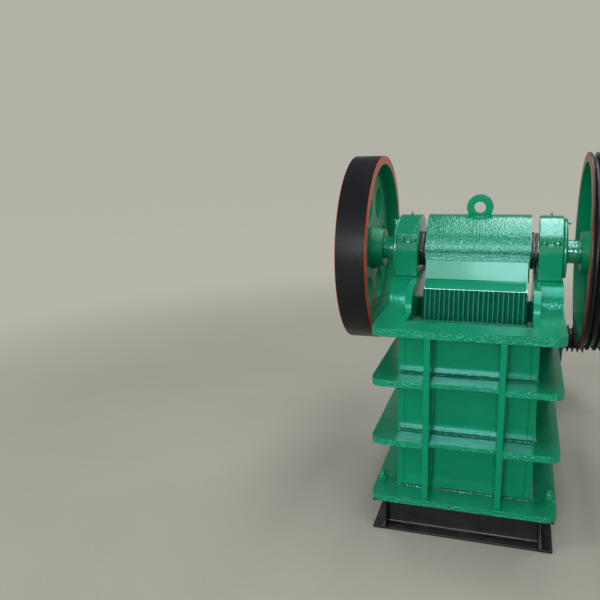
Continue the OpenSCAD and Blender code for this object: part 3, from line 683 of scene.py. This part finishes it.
def sprayed_casting(name, paint):
    """Cast jaw iron under a thin spray of green: the paint fails on the teeth's tips."""
    material, work, shader, place, _ = start_material(name, gloss=0.5, tint=paint.plate_glint)
    toned = use_group(work, uneven_tone(), Coordinates=place, Colour=rgba(paint.jaw_green),
                      Second=rgba(paint.jaw_deep_and_shade), Amount=0.9)
    patches = work.range(work.noise(place, 26.0, 6.0, 0.7), 0.60, 0.72)
    colour = work.mix(work.math("MULTIPLY", patches, 0.8), toned["Colour"], rgba(paint.iron))
    work.feed(shader, "Base Color", colour)
    work.feed(shader, "Roughness", work.range(patches, 0.0, 1.0, 0.32, 0.6))
    heights = use_group(work, brushed_enamel(), Coordinates=place, Peel_scale=320.0,
                        Peel_depth=0.0005, Lump_scale=80.0, Lump_depth=0.0012, Wave_depth=0.002)
    bump(work, shader, heights["Height"])
    return material


def trodden_floor(name, colour):
    """Plain pale floor with a faint, slow change of tone. Far from the machine the camera and
    mirrors see its even colour by its own light, which lights nothing else."""
    material, work, shader, place, _ = start_material(name, gloss=0.2)
    cloud = work.noise(place, 0.9, 4.0, 0.6)
    grit = work.noise(place, 60.0, 3.0, 0.6)
    tone = work.math("ADD", work.math("MULTIPLY", cloud, 0.7), work.math("MULTIPLY", grit, 0.3))
    parts = work.node("SeparateXYZ", inputs={0: place})
    square = work.math("ADD", work.math("MULTIPLY", parts.outputs[0], parts.outputs[0]),
                       work.math("MULTIPLY", parts.outputs[1], parts.outputs[1]))
    far = work.range(work.math("SQRT", square), 1.9, 5.0)
    path = work.node("LightPath").outputs
    seen = work.math("MAXIMUM", path["Is Camera Ray"],
                     work.math("MAXIMUM", path["Is Glossy Ray"], path["Is Transmission Ray"]))
    glow = work.math("MULTIPLY", far, seen)
    dark = tuple(c * 0.95 for c in colour)
    shade = work.mix(work.range(tone, 0.4, 0.62), rgba(colour), rgba(dark))
    work.feed(shader, "Base Color", work.mix(glow, shade, (0.0, 0.0, 0.0, 1.0)))
    work.feed(shader, "Emission Color", rgba(tuple(c * 0.92 for c in colour)))
    work.feed(shader, "Emission Strength", glow)
    shader.inputs["Roughness"].default_value = 0.8
    return material


COARSE_DEPTH = 0.0050
MATERIALS = {}


def make_materials():
    """Every finish of the machine, by its plain name."""
    paint = sizes()[0]
    wheel_low, wheel_high = corners("grooved_wheel")
    left_low, left_high = corners("left_flywheel")
    pulley_low, pulley_high = corners("motor_pulley")
    radius = (wheel_high[Z] - wheel_low[Z]) / 2
    ring = radius - RING_WIDE
    hub = HUB_STAND
    wall = corners("front_wall")[0][Y]
    upright = corners("front_uprights")[1][X] - UPRIGHT
    # Each shelf: the rib's top, the uprights' inner faces, the wall, and how strong the painted reflection haze
    # is in the left and right bays.
    shelves = [(corners(rib)[1][Z], upright, wall + 0.004, left, right)
               for rib, left, right in (("upper_rib", 0.60, 0.25), ("lower_rib", 0.75, 0.45))]
    green, deep = paint.green, paint.deep_green
    shine = dict(gloss=1.0, tint=paint.glint, bend=1.7, dust=0.0)
    plate_coat = dict(rough=0.20, dust=0.03, gloss=0.5, tint=paint.plate_glint, peel=0.00016, lump=0.0003,
                      wave=0.0013)
    skid_top = corners("skid_rear_beam")[1][Z]
    MATERIALS.update({
        "plate": enamel("Green plate enamel", green, deep, paint, shelves=shelves, **plate_coat),
        "flange": enamel("Green flange enamel", green, deep, paint, shelves=shelves,
                         edge_lump=0.008, **{**plate_coat, "gloss": 1.0}),
        "casting": enamel("Green casting enamel", green, deep, paint, rough=0.13, peel=0.0011,
                          peel_scale=140.0, lump=0.0008, lump_scale=60.0, brushed=0.6, **shine),
        "pedestal": enamel("Green pedestal enamel", green, deep, paint, rough=0.16, peel=0.0011,
                           peel_scale=140.0, dust=0.0, gloss=0.8, tint=paint.plate_glint),
        # The barrel's coarse band above smooth_below carries painted highlight specks.
        "jaw_casting": enamel("Green jaw enamel", green, deep, paint, rough=0.11, peel=0.0018,
                              peel_scale=150.0, lump=0.0010, lump_scale=60.0, brushed=0.6,
                              smooth_below=JOURNAL[Z] - 0.034, **shine),
        "bead": enamel("Green bead enamel", green, deep, paint, rough=0.15, peel=0.0006,
                       peel_scale=150.0, **shine),
        # The weld beads take the darker jaw greens as a painted shade for the dark line at the joints.
        "weld": enamel("Green weld enamel", paint.jaw_green, paint.jaw_deep_and_shade, paint, rough=0.12,
                       peel=0.0006, peel_scale=150.0, **shine),
        "skid": enamel("Black skid enamel", paint.black, paint.worn_black, paint, rough=0.30,
                       dust=0.10, reach=0.10, peel=0.0002, lump=0.0004, wave=0.0015, tone=0.35,
                       overspray=(skid_top - 0.0015, wall + 0.06)),
        "motor": enamel("Blue motor enamel", paint.blue, (0.022, 0.050, 0.105), paint, rough=0.30,
                        dust=0.15),
        "wheel": ringed_enamel("Grooved wheel enamel", paint, tuple(SHAFT),
                               (wheel_low[X] + hub, wheel_high[X] - hub), ring, ring + 0.006, 0.003,
                               # The grooved wheel's ring is painted at 0.45 of its orange, a painted shade.
                               ring_shade=0.45),
        "flywheel": ringed_enamel("Flywheel enamel", paint, tuple(SHAFT),
                                  (left_high[X] - hub, left_low[X] + hub), ring, ring + 0.006, 0.003),
        "pulley": ringed_enamel("Pulley enamel", paint, tuple(MOTOR),
                                (pulley_low[X], pulley_high[X]), 0.0, 0.060, 0.002),
        "steel": turned_steel("Turned shaft steel", paint, paint.steel),
        "dark_steel": turned_steel("Dark oiled steel", paint, (0.16, 0.16, 0.165), 0.42, 0.6),
        "jaw": sprayed_casting("Sprayed jaw casting", paint),
    })


RING_WIDE = 0.034
HUB_STAND = 0.004
UPRIGHT = 0.024
FINISHES = {
    "plate": ["left_side_plate", "right_side_plate", "front_wall", "rear_wall", "front_uprights",
              "side_uprights", "toggle_seat", "rod_bracket",
              "slide_base", "left_bearing_base", "right_bearing_base", "jaw_clamp",
              "lifting_eye"],
    "flange": ["top_flange", "upper_rib", "lower_rib", "base_flange"],
    "casting": ["left_bearing_cap", "right_bearing_cap", "end_covers", "shaft_collars"],
    "pedestal": ["left_pedestal", "right_pedestal"],
    "jaw_casting": ["pitman"],
    "skid": ["skid_left_beam", "skid_right_beam", "skid_front_beam", "skid_rear_beam",
             "skid_cross_beams"],
    "motor": ["motor_body", "motor_end_shields", "motor_fan_cover", "motor_terminal_box"],
    "wheel": ["grooved_wheel"],
    "flywheel": ["left_flywheel"],
    "pulley": ["motor_pulley"],
    "steel": ["eccentric_shaft", "motor_shaft"],
    "dark_steel": ["seal_rings", "toggle_plate", "tension_rod", "rod_spring"],
    "jaw": ["fixed_jaw", "moving_jaw", "left_cheek_plate", "right_cheek_plate"],
}
EDGE_WIDTHS = {"plate": 0.0035, "flange": 0.0045, "casting": 0.006, "jaw_casting": 0.004,
               "pedestal": 0.0035,
               "skid": 0.0022, "motor": 0.0015, "wheel": 0.003, "flywheel": 0.003,
               "pulley": 0.0008, "steel": 0.0012, "dark_steel": 0.0015, "jaw": 0.0014}
NODE_EDGES = {"lifting_eye": 0.009, "left_bearing_cap": 0.009, "right_bearing_cap": 0.009,
              "left_bearing_base": 0.006, "right_bearing_base": 0.006,
              "shaft_collars": 0.002, "jaw_clamp": 0.003}


def soften(piece, width, limit):
    """Joins a node's loose triangles, rounds its sharp edges and keeps its flat faces flat."""
    join = piece.modifiers.new("Join", "WELD")
    join.merge_threshold = 0.00002
    edge = piece.modifiers.new("Edges", "BEVEL")
    edge.width = width
    edge.segments = 2
    edge.limit_method = "ANGLE"
    edge.angle_limit = math.radians(limit)
    edge.use_clamp_overlap = True
    flat = piece.modifiers.new("Flat faces", "WEIGHTED_NORMAL")
    flat.mode = "FACE_AREA"
    flat.weight = 90
    flat.keep_sharp = True
    piece.data.shade_smooth()


class CRUSHER_OT_paint_nodes(bpy.types.Operator):
    """Gives every carried-over node its finish and softened edges"""

    bl_idname = "crusher.paint_nodes"
    bl_label = "Paint nodes"

    def execute(self, context):
        make_materials()
        for finish, nodes in FINISHES.items():
            for node in nodes:
                piece = CAD[node]
                piece.data.materials.clear()
                piece.data.materials.append(MATERIALS[finish])
                width = NODE_EDGES.get(node, EDGE_WIDTHS[finish])
                soften(piece, width, 9 if finish == "jaw_casting" else 20)
        return {"FINISHED"}


# Weld beads


def spans(low, high, cuts):
    """The stretches of low to high that the cuts leave."""
    edges = [low] + [edge for cut in sorted(cuts) for edge in cut] + [high]
    return [(a, b) for a, b in zip(edges[::2], edges[1::2]) if b - a > 0.02]


class CRUSHER_OT_frame_welds(bpy.types.Operator):
    """Lays weld beads along the ribs, flanges and uprights of the frame"""

    bl_idname = "crusher.frame_welds"
    bl_label = "Frame welds"

    def execute(self, context):
        welds = sizes()[1]
        wall_low, _ = corners("front_wall")
        front = wall_low[Y]
        side = corners("right_side_plate")[1][X]
        upright_low, upright_high = corners("front_uprights")
        thick = 0.024
        inner = upright_high[X] - thick
        levels = {name: (corners(name)[0][Z], corners(name)[1][Z])
                  for name in ("base_flange", "lower_rib", "upper_rib", "top_flange")}
        backs = {name: corners(name)[1][Y] for name in levels}
        cuts = [(-upright_high[X], -inner), (inner, upright_high[X])]
        skin, uprights = Skin(), Skin()
        lines = [(levels["base_flange"][1], 1), (levels["top_flange"][0], -1)]
        for name in ("lower_rib", "upper_rib"):
            lines += [(levels[name][0], -1), (levels[name][1], 1)]
        for z, up in lines:
            for a, b in spans(-side, side, cuts):
                skin.add(bead_points((a, front, z), (b, front, z), (0, -0.7, 0.7 * up), welds),
                         close_columns=True)
        bays = [(levels["base_flange"][1], levels["lower_rib"][0]),
                (levels["lower_rib"][1], levels["upper_rib"][0]),
                (levels["upper_rib"][1], levels["top_flange"][0])]
        for low, high in bays:
            for x, lean, size in ((inner, -0.7, 0.6), (upright_high[X], 0.7, 0.6)):
                for sign in (-1, 1):
                    uprights.add(bead_points((sign * x, front, low), (sign * x, front, high),
                                             (sign * lean, -0.7, 0), welds, size), close_columns=True)
        skin.build("front_weld_beads", MATERIALS["weld"], "frame", "frame_green")
        uprights.build("front_upright_beads", MATERIALS["bead"], "frame", "frame_green")
        stops = self.side_stops()
        for label, sign in (("left", -1), ("right", 1)):
            skin = Skin()
            for name, (low, high) in levels.items():
                for z, up in ((low, -1), (high, 1)):
                    if name == "base_flange" and up < 0 or name == "top_flange" and up > 0:
                        continue
                    for a, b in spans(front, backs[name] - 0.004, stops if z < levels["top_flange"][0] else []):
                        skin.add(bead_points((sign * side, a, z), (sign * side, b, z),
                                             (0.7 * sign, 0, 0.7 * up), welds), close_columns=True)
            for low, high in bays:
                for a, b in stops[: 1 if low > levels["upper_rib"][0] else 2]:
                    for y in (a, b):
                        skin.add(bead_points((sign * side, y, low), (sign * side, y, high),
                                             (sign, 0, 0), welds), close_columns=True)
            skin.build(label + "_weld_beads", MATERIALS["weld"], "frame", "frame_green")
        return {"FINISHED"}

    def side_stops(self):
        """Where the side uprights stand, from their node's box: (front, back) of each."""
        low, high = corners("side_uprights")
        thick = 0.020
        return [(low[Y], low[Y] + thick), (high[Y] - thick, high[Y])]


# Bolts and fittings


CAP_LEDGE = 0.049


class CRUSHER_OT_bolts(bpy.types.Operator):
    """Sets the bolts of the bearing caps, the base flange and the motor"""

    bl_idname = "crusher.bolts"
    bl_label = "Bolts"

    def execute(self, context):
        bolts = sizes()[2]
        skin = Skin()
        for node in ("left_bearing_cap", "right_bearing_cap"):
            low, high = corners(node)
            top = low[Z] + CAP_LEDGE
            inner = min(abs(low[X]), abs(high[X]))
            for x in (inner + 0.021, inner + 0.076):
                for y in (low[Y] + 0.016, high[Y] - 0.016):
                    bolt(skin, (math.copysign(x, low[X]), y, top), bolts.cap_stud, turn=x * 40)
        skin.build("cap_bolts", MATERIALS["bead"], "frame", "casting_green", crisp=True)
        skin = Skin()
        low, high = corners("base_flange")
        for x in (low[X] + 0.029, high[X] - 0.029):
            for y in (low[Y] + 0.130, low[Y] + 0.58, high[Y] - 0.07):
                bolt(skin, (x, y, high[Z]), bolts.foot_stud, turn=y * 9, proud=1.5, nuts=2)
        skin.build("base_bolts", MATERIALS["bead"], "frame", "casting_green", crisp=True)
        skin = Skin()
        low, high = corners("motor_body")
        foot = corners("slide_base")[1][Z] + 0.024
        for x in (low[X] + 0.085, high[X] - 0.085):
            for y in (MOTOR[Y] - 0.135, MOTOR[Y] + 0.135):
                bolt(skin, (x, y, foot), bolts.motor_stud, turn=x * 31, proud=1.4)
        skin.build("motor_bolts", MATERIALS["dark_steel"], "frame", "dark_steel", crisp=True)
        return {"FINISHED"}


class CRUSHER_OT_grease_nipples(bpy.types.Operator):
    """Screws a grease nipple into each bearing cap"""

    bl_idname = "crusher.grease_nipples"
    bl_label = "Grease nipples"

    def execute(self, context):
        tall = sizes()[2].nipple
        skin = Skin()
        for node in ("left_bearing_cap", "right_bearing_cap"):
            low, high = corners(node)
            middle = (low[X] + high[X]) / 2
            skin.add(turned([(0, -0.003), (0.0055, -0.003), (0.0055, tall * 0.3), (0.003, tall * 0.32),
                             (0.003, tall * 0.7), (0.0042, tall * 0.75), (0.0035, tall * 0.95),
                             (0, tall)], (middle, SHAFT[Y], high[Z]), Z, 16), close_columns=True)
        low, high = corners("end_covers")
        for sign in (-1, 1):
            face = (sign * high[X], SHAFT[Y], high[Z] - 0.020)
            plug = np.array([(0, -0.002), (0.010, -0.002), (0.010, 0.005), (0.0075, 0.007),
                             (0.0075, 0.013), (0.006, 0.0145), (0, 0.0145)])
            plug[:, 1] *= sign
            skin.add(turned(plug if sign > 0 else plug[::-1], face, X, 20), close_columns=True)
        skin.build("grease_nipples", MATERIALS["bead"], "frame", "casting_green", crisp=True)
        return {"FINISHED"}


class CRUSHER_OT_rod_coil(bpy.types.Operator):
    """Winds the tension rod's spring in place of its plain sleeve"""

    bl_idname = "crusher.rod_coil"
    bl_label = "Rod spring"

    def execute(self, context):
        bolts = sizes()[2]
        low, high = corners("rod_spring")
        middle = (low + high) / 2
        outer = (high[X] - low[X]) / 2
        wire = bolts.coil_wire
        t = np.linspace(0, 1, bolts.coil_turns * 28)
        turn = 2 * np.pi * bolts.coil_turns * t
        rise = np.clip((t - 0.06) / 0.88, 0, 1)
        length = high[Y] - low[Y] - 2 * wire
        path = np.stack([middle[X] + (outer - wire) * np.cos(turn), low[Y] + wire + length * rise,
                         middle[Z] + (outer - wire) * np.sin(turn)], -1)
        taper = np.sqrt(np.clip(np.minimum(t, 1 - t) * 60, 0, 1))
        skin = Skin()
        skin.add(tube(path, wire * taper, (0.0, 1.0, 0.0), 10), close_columns=True)
        coil = skin.build("spring_coil", MATERIALS["dark_steel"], "frame", "dark_steel", True)
        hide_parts("rod_spring")
        return {"FINISHED"}


# Stage


class CRUSHER_OT_stage(bpy.types.Operator):
    """Sets the camera, the floor sweep and the soft lamps"""

    bl_idname = "crusher.stage"
    bl_label = "Stage"

    def execute(self, context):
        stage = sizes()[3]
        scene = context.scene
        scene.view_settings.view_transform = "Standard"
        self.camera(scene)
        self.sweep(stage)
        self.lamps(scene, stage)
        return {"FINISHED"}

    def camera(self, scene):
        """Camera at the photograph's place: yaw to the left, pitch down and a small roll."""
        from mathutils import Matrix

        yaw, pitch, roll = (math.radians(a) for a in (18.352, 13.683, -1.664))
        forward = np.array([-math.sin(yaw) * math.cos(pitch), math.cos(yaw) * math.cos(pitch),
                            -math.sin(pitch)])
        right = np.array([math.cos(yaw), math.sin(yaw), 0.0])
        up = np.cross(right, forward)
        tilted = right * math.cos(roll) + up * math.sin(roll)
        top = -right * math.sin(roll) + up * math.cos(roll)
        data = bpy.data.cameras.new("Camera")
        data.sensor_width = 36.0
        data.lens = 40.57
        data.clip_end = 100.0
        camera = bpy.data.objects.new("Camera", data)
        scene.collection.objects.link(camera)
        turn = np.eye(4)
        turn[:3, 0], turn[:3, 1], turn[:3, 2] = tilted, top, -forward
        turn[:3, 3] = (0.1835, -3.5566, 1.6482)
        camera.matrix_world = Matrix(turn)
        scene.camera = camera

    def sweep(self, stage):
        """A round floor whose edge curves up: a profile of (radius, height) turned about Z."""
        bend = np.linspace(0, np.pi / 2, 16)
        radius = np.concatenate([[0.0, 3.0, 8.0], 9.0 + 3.0 * np.sin(bend), [12.0]])
        height = np.concatenate([[0.0, 0.0, 0.0], 3.0 - 3.0 * np.cos(bend), [5.4]])
        a = np.linspace(0, 2 * np.pi, 96, endpoint=False)
        grid = np.stack([radius[:, None] * np.cos(a), radius[:, None] * np.sin(a),
                         np.broadcast_to(height[:, None], (len(height), 96))], -1)
        mesh = bpy.data.meshes.new("floor_sweep")
        mesh.from_pydata(grid.reshape(-1, 3), [], grid_faces(*grid.shape[:2], False, True)[:, ::-1])
        close_poles(mesh, False)
        mesh.shade_smooth()
        mesh.materials.append(trodden_floor("Pale floor", stage.floor))
        floor = bpy.data.objects.new("floor_sweep", mesh)
        bpy.context.scene.collection.objects.link(floor)

    def lamps(self, scene, stage):
        """Even light, a long lamp overhead, four lamps round the machine and the feed side's own."""
        world = bpy.data.worlds.new("Even light")
        world.use_nodes = True
        sky = world.node_tree.nodes["Background"]
        sky.inputs["Color"].default_value = (0.96, 0.98, 1.0, 1.0)
        sky.inputs["Strength"].default_value = stage.sky
        scene.world = world
        self.lamp("Roof lamp", stage.roof_lamp, (1.1, 7.2), (0.45, 0.1, 5.0), (0.45, 0.1, 0.0))
        for x, wide, share in ((0.15, 1.3, 1.0), (-1.05, 1.1, 0.4)):
            self.lamp("Front lamp", stage.front_lamp * share, (wide, 0.95), (x, -6.2, 5.15),
                      (x / 3, -0.5, 1.0))
        self.lamp("Left key lamp", stage.left_key, (2.0, 1.6), (-4.2, -3.6, 3.6), (0.0, 0.0, 0.8))
        self.lamp("Right key lamp", stage.right_key, (2.0, 1.6), (4.2, -3.6, 3.6), (0.0, 0.0, 0.8))
        for x in (-4.0, 4.0):
            self.lamp("Back lamp", stage.back_lamp, (2.0, 1.6), (x, 4.0, 3.6), (0.0, 0.0, 0.8))
        self.lamp("Door lamp", stage.door_lamp, (1.7, 1.7), (-0.35, -6.2, 2.35), (-0.1, -0.9, 0.6))

    def lamp(self, name, power, size, place, target):
        """A rectangular lamp aimed at a point."""
        from mathutils import Vector

        data = bpy.data.lights.new(name, "AREA")
        data.shape = "RECTANGLE"
        data.size, data.size_y = size
        data.energy = power
        lamp = bpy.data.objects.new(name, data)
        bpy.context.scene.collection.objects.link(lamp)
        lamp.location = place
        lamp.rotation_euler = (Vector(target) - Vector(place)).to_track_quat("-Z", "Y").to_euler()


class CRUSHER_PT_panel(bpy.types.Panel):
    """Lists the steps that dress the crusher"""

    bl_label = "Jaw crusher"
    bl_idname = "CRUSHER_PT_panel"
    bl_space_type = "VIEW_3D"
    bl_region_type = "UI"
    bl_category = "Crusher"

    def draw(self, context):
        for step in STEPS:
            self.layout.operator(step.bl_idname)


GROUPS = {"crusher_paint": CrusherPaint, "crusher_welds": CrusherWelds,
          "crusher_bolts": CrusherBolts, "crusher_stage": CrusherStage}
STEPS = [CRUSHER_OT_stage, CRUSHER_OT_paint_nodes, CRUSHER_OT_frame_welds, CRUSHER_OT_bolts,
         CRUSHER_OT_grease_nipples, CRUSHER_OT_rod_coil]


def register():
    for kind in (*GROUPS.values(), *STEPS, CRUSHER_PT_panel):
        bpy.utils.register_class(kind)
    for name, kind in GROUPS.items():
        setattr(bpy.types.Scene, name, bpy.props.PointerProperty(type=kind))


def unregister():
    for name in GROUPS:
        delattr(bpy.types.Scene, name)
    for kind in reversed((*GROUPS.values(), *STEPS, CRUSHER_PT_panel)):
        bpy.utils.unregister_class(kind)


def main():
    """Registers the add-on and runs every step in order."""
    register()
    for step in STEPS:
        space, name = step.bl_idname.split(".")
        getattr(getattr(bpy.ops, space), name)()


if __name__ == "__main__":
    main()
